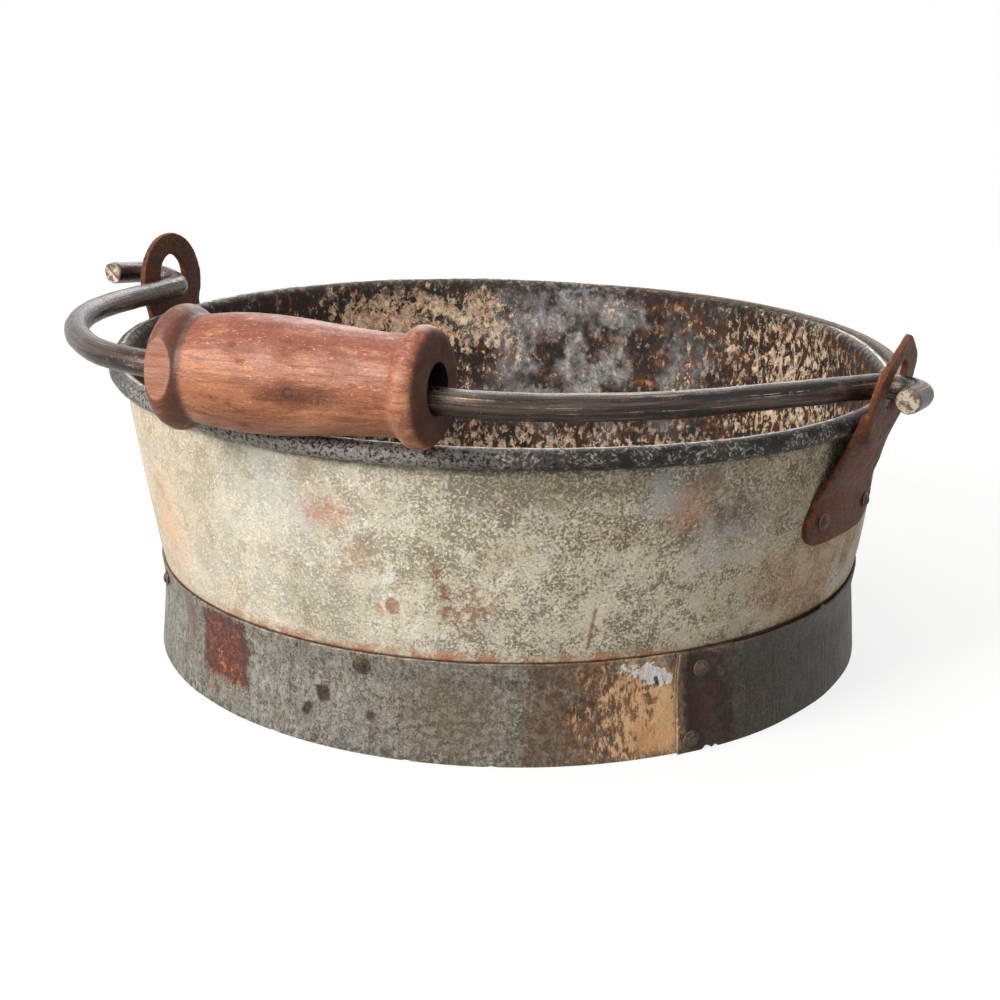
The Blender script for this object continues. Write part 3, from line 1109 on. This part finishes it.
def rodMaterial():
    made, tree, shader = newMaterial("forgedRod", rodLook["gloss"])
    own = addNode(tree, "Attribute", attribute_name="alongRod").outputs["Vector"]
    cut = addNode(tree, "Attribute", attribute_name="cutEnd").outputs["Fac"]
    place = useGroup(tree, tubPlace)["Place"]
    look = coloursOf(rodLook)
    coats = Coats(tree, look, "black")
    drawn = grainOf(tree, stretched(tree, own, 0.012, 1.0, 1.0), 0.8, 4, 0.7)
    soft = grainOf(tree, stretched(tree, own, 0.05, 1.0, 1.0), 3.2, 4, 0.6)
    specks = grainOf(tree, own, 0.9, 5, 0.78)
    wide = grainOf(tree, own, 9, 5, 0.66)
    coats.lay(fade(tree, soft, 0.38, 0.62), "grey")
    coats.lay(times(tree, fade(tree, drawn, 0.58, 0.66), fade(tree, wide, 0.4, 0.56), 0.6), "bare")
    coats.lay(times(tree, fade(tree, drawn, 0.46, 0.38), 0.8), "black")
    rust = useGroup(tree, rustColours, {"Place": place, "Brightness": rodLook["rustLight"]})
    rusty = times(tree, fade(tree, wide, 0.52, 0.66), fade(tree, specks, 0.4, 0.6), 0.7)
    coats.lay(rusty, rust["Color"])
    coats.lay(times(tree, fade(tree, specks, 0.64, 0.7), 0.7), "dust")
    cutGrain = fade(tree, grainOf(tree, own, 2.6, 5, 0.7), 0.44, 0.56)
    endColor = blendColor(tree, cutGrain, look["cutBrown"], look["cut"])
    coats.lay(times(tree, cut, fade(tree, specks, 0.3, 0.42)), endColor)
    height = mulAdd(tree, drawn, 0.8, times(tree, specks, 0.3))
    rough = mulAdd(tree, rusty, 0.35, fade(tree, specks, 0.3, 0.7, 0.2, 0.36))
    metal = mulAdd(tree, rusty, -0.5, 0.55)
    feed(tree, shader, coats.color, rough, relief(tree, height, 0.3), metal)
    return made


woodLook = {"light": (170, 112, 78), "mid": (134, 78, 50), "deep": (84, 40, 22),
            "grime": (52, 28, 19), "red": (110, 48, 24), "fleck": (208, 160, 126),
            "scuff": (176, 124, 98), "chip": (146, 94, 68), "end": (56, 26, 10),
            "hollow": (24, 14, 10), "gloss": 0.36}
# distances from the grip's left end, and the knot's place on it
woodMarks = {"groove": 11.9, "grooveHalf": 3.4, "smear": 56.0, "rightCrest": 91.5,
             "endFrom": 95.4, "endFull": 97.2, "boreEdge": 9.2, "bore": 8.7,
             "knot": (54.0, -0.7, 19.1)}


def woodMaterial():
    made, tree, shader = newMaterial("wornWood", woodLook["gloss"])
    own = addNode(tree, "Attribute", attribute_name="onGrip").outputs["Vector"]
    chipped = addNode(tree, "Attribute", attribute_name="chipped").outputs["Fac"]
    parts = addNode(tree, "SeparateXYZ", {0: own}).outputs
    look = coloursOf(woodLook)
    coats = Coats(tree, look, "mid")
    grain = grainOf(tree, stretched(tree, own, 0.07, 1.0, 1.0), 1.5, 6, 0.7, 0.5)
    broad = grainOf(tree, stretched(tree, own, 0.3, 1.0, 1.0), 10.0, 4, 0.6, 0.5)
    pores = grainOf(tree, stretched(tree, own, 0.45, 1.0, 1.0), 0.6, 3, 0.75)
    wear = grainOf(tree, stretched(tree, own, 0.5, 1.0, 1.0), 5.0, 6, 0.72, 0.4)
    coats.lay(fade(tree, broad, 0.36, 0.64), "light")
    coats.lay(times(tree, fade(tree, grain, 0.47, 0.66), 0.6), "deep")
    upper = times(tree, fade(tree, parts[1], 6.0, 14.0), fade(tree, wear, 0.3, 0.52), 0.85)
    coats.lay(upper, "red")
    coats.lay(times(tree, fade(tree, wear, 0.56, 0.68), 0.6), "deep")
    smear = times(tree, fade(tree, unsigned(tree, calc(tree, "ADD", parts[1], 2.0)), 5.0, 1.0),
                  fade(tree, unsigned(tree, minus(tree, parts[0], woodMarks["smear"])), 20.0, 6.0),
                  fade(tree, wear, 0.36, 0.54), 0.85)
    coats.lay(smear, "deep")
    coats.lay(times(tree, fade(tree, pores, 0.58, 0.68), 0.75), "grime")
    flecks = fade(tree, pores, 0.41, 0.35)
    coats.lay(times(tree, flecks, fade(tree, grain, 0.6, 0.44), 0.65), "fleck")
    # the flanges: scuffed crests, a dark groove by the left one, worn end grain
    square = mulAdd(tree, parts[1], parts[1], times(tree, parts[2], parts[2]))
    radius = calc(tree, "SQRT", square)
    rightCrest = unsigned(tree, minus(tree, parts[0], woodMarks["rightCrest"]))
    rightCrest = fade(tree, rightCrest, 5.5, 2.0)
    scuffs = grainOf(tree, stretched(tree, own, 0.4, 1.0, 1.0), 0.9, 5, 0.76)
    coats.lay(times(tree, rightCrest, fade(tree, scuffs, 0.5, 0.58), 0.6), "scuff")
    leftEnd = times(tree, fade(tree, parts[0], 12.0, 9.0), fade(tree, wear, 0.26, 0.44), 0.8)
    coats.lay(leftEnd, "deep")
    groove = fade(tree, unsigned(tree, minus(tree, parts[0], woodMarks["groove"])),
                  woodMarks["grooveHalf"], 0.2)
    coats.lay(times(tree, groove, mulAdd(tree, wear, 0.5, 0.6)), "grime")
    endGrain = most(tree, fade(tree, parts[0], 0.7, 0.15),
                    fade(tree, parts[0], woodMarks["endFrom"], woodMarks["endFull"]))
    rings = addNode(tree, "TexWave", {"Vector": stretched(tree, own, 0.0, 1.0, 1.0), "Scale": 0.35,
                                      "Distortion": 6.0, "Detail": 4.0, "Detail Scale": 1.5},
                    wave_type="RINGS", rings_direction="X").outputs["Fac"]
    ringed = times(tree, rings, fade(tree, pores, 0.3, 0.6))
    endColor = blendColor(tree, ringed, look["end"], look["grime"])
    coats.lay(times(tree, endGrain, 0.92), endColor)
    coats.lay(fade(tree, radius, woodMarks["boreEdge"], woodMarks["bore"]), "hollow")
    knot = addNode(tree, "VectorMath", {0: own, 1: woodMarks["knot"]},
                   operation="DISTANCE").outputs["Value"]
    ring = fade(tree, unsigned(tree, minus(tree, knot, mulAdd(tree, wear, 1.2, 0.9))), 0.65, 0.1)
    coats.lay(times(tree, fade(tree, knot, 7.0, 1.5), fade(tree, grain, 0.4, 0.6), 0.6), "deep")
    coats.lay(times(tree, ring, 0.8), "grime")
    chipGrain = mulAdd(tree, fade(tree, grain, 0.6, 0.45), 0.4, 0.5)
    coats.lay(times(tree, chipped, chipGrain), "chip")
    dents = fade(tree, wear, 0.6, 0.7)
    height = mulAdd(tree, pores, -0.5, times(tree, grain, 0.4))
    height = mulAdd(tree, dents, -0.25, height)
    rough = mulAdd(tree, fade(tree, wear, 0.36, 0.64), 0.22, 0.34)
    rough = mulAdd(tree, endGrain, 0.3, rough)
    feed(tree, shader, coats.color, rough, relief(tree, height, 0.38))
    return made


def dress(made, material):
    made.data.materials.clear()
    made.data.materials.append(material)


dress(wall, sheetMaterial())
dress(footBand, bandMaterial())
dress(floorDisc, floorMaterial())
dress(bail, rodMaterial())
dress(woodGrip, woodMaterial())
earIron, rivetIron = ironMaterial("rustyIron", earLook), ironMaterial("rivetIron", rivetLook)
for ear in ears:
    dress(ear, earIron)
for rivet in rivets:
    dress(rivet, rivetIron)
dress(frame["nodes"]["rim_wire"], rivetIron)
print("materials made")


# Floor, soft studio light and the camera
studio = {
    "world": 0.42, "worldColor": (1.0, 0.985, 0.96, 1),
    "floorColor": (235, 235, 233), "floorBounce": (150, 148, 145), "floorSize": 4,
    "whiteFrom": 0.6, "whiteFull": 1.6, "paperWhite": 0.8,
    # name, place, what it points at, size, power
    "lamps": [("keyLamp", (-1.15, -0.95, 1.0), (0, 0, 0.08), 0.8, 44),
              ("fillLamp", (1.2, -1.1, 0.7), (0, 0, 0.08), 1.0, 4.5),
              ("topLamp", (-0.3, 0.1, 1.6), (0, 0, 0.05), 0.9, 8),
              ("backLamp", (0.1, 1.5, 1.0), (0, 0, 0.1), 0.9, 13)],
    "lens": 63.04, "cameraAt": (0, -0.7039, 0.2731), "pitch": 17.37, "yaw": -0.32, "roll": 0.66,
}


def backdropShare(tree, rays):    # 1 where the background shows, straight or in metal
    return most(tree, rays["Is Camera Ray"], rays["Is Glossy Ray"], rays["Is Transmission Ray"])


def buildFloorPlane():
    mesh = bpy.data.meshes.new("studioFloor")
    far = studio["floorSize"]
    corners = [(-far, -far, 0), (far, -far, 0), (far, far, 0), (-far, far, 0)]
    mesh.from_pydata(corners, [], [(0, 1, 2, 3)])
    made = bpy.data.objects.new("studioFloor", mesh)
    bpy.context.scene.collection.objects.link(made)
    material = bpy.data.materials.new("studioPaper")
    material.use_nodes = True
    tree = material.node_tree
    tree.nodes.clear()
    rays = addNode(tree, "LightPath").outputs
    shade = blendColor(tree, rays["Is Camera Ray"], paint(*studio["floorBounce"]),
                       paint(*studio["floorColor"]))
    lit = addNode(tree, "BsdfDiffuse", {"Color": shade})
    plain = addNode(tree, "Emission", {"Color": (1, 1, 1, 1), "Strength": 1.0})
    # the paper turns plain white away from the bucket, so that its far edge doesn't show
    own = addNode(tree, "TexCoord").outputs["Object"]
    away = addNode(tree, "VectorMath", {0: own}, operation="LENGTH").outputs["Value"]
    plainShare = fade(tree, away, studio["whiteFrom"], studio["whiteFull"],
                      studio["paperWhite"], 1.0)
    seen = times(tree, backdropShare(tree, rays), plainShare)
    both = addNode(tree, "MixShader", {0: seen, 1: lit.outputs[0], 2: plain.outputs[0]})
    addNode(tree, "OutputMaterial", {"Surface": both.outputs[0]})
    mesh.materials.append(material)


def buildWorld():
    world = bpy.data.worlds.new("studioWorld")
    bpy.context.scene.world = world
    world.use_nodes = True
    tree = world.node_tree
    tree.nodes.clear()
    soft = addNode(tree, "Background", {"Color": studio["worldColor"], "Strength": studio["world"]})
    white = addNode(tree, "Background", {"Color": (1, 1, 1, 1), "Strength": 1.0})
    seen = backdropShare(tree, addNode(tree, "LightPath").outputs)
    both = addNode(tree, "MixShader", {0: seen, 1: soft.outputs[0], 2: white.outputs[0]})
    addNode(tree, "OutputWorld", {"Surface": both.outputs[0]})


def addLamp(name, at, target, size, power):
    data = bpy.data.lights.new(name, "AREA")
    data.shape, data.size, data.energy = "SQUARE", size, power
    lamp = bpy.data.objects.new(name, data)
    bpy.context.scene.collection.objects.link(lamp)
    lamp.location = at
    lamp.rotation_euler = (Vector(target) - Vector(at)).to_track_quat("-Z", "Y").to_euler()


def buildCamera():
    data = bpy.data.cameras.new("camera")
    data.sensor_width, data.lens = 36, studio["lens"]
    data.clip_start, data.clip_end = 0.01, 30
    camera = bpy.data.objects.new("camera", data)
    bpy.context.scene.collection.objects.link(camera)
    pitch, yaw, roll = (math.radians(studio[key]) for key in ("pitch", "yaw", "roll"))
    level = math.cos(pitch)
    ahead = Vector((math.sin(yaw) * level, math.cos(yaw) * level, -math.sin(pitch)))
    right = Vector((math.cos(yaw), -math.sin(yaw), 0))
    up = right.cross(ahead)
    side = right * math.cos(roll) + up * math.sin(roll)
    above = up * math.cos(roll) - right * math.sin(roll)
    basis = Matrix((side, above, -ahead)).transposed().to_4x4()
    camera.matrix_world = Matrix.Translation(studio["cameraAt"]) @ basis
    bpy.context.scene.camera = camera


buildFloorPlane()
buildWorld()
for lamp in studio["lamps"]:
    addLamp(*lamp)
buildCamera()
bpy.context.scene.view_settings.view_transform = "Standard"
print("stage set")
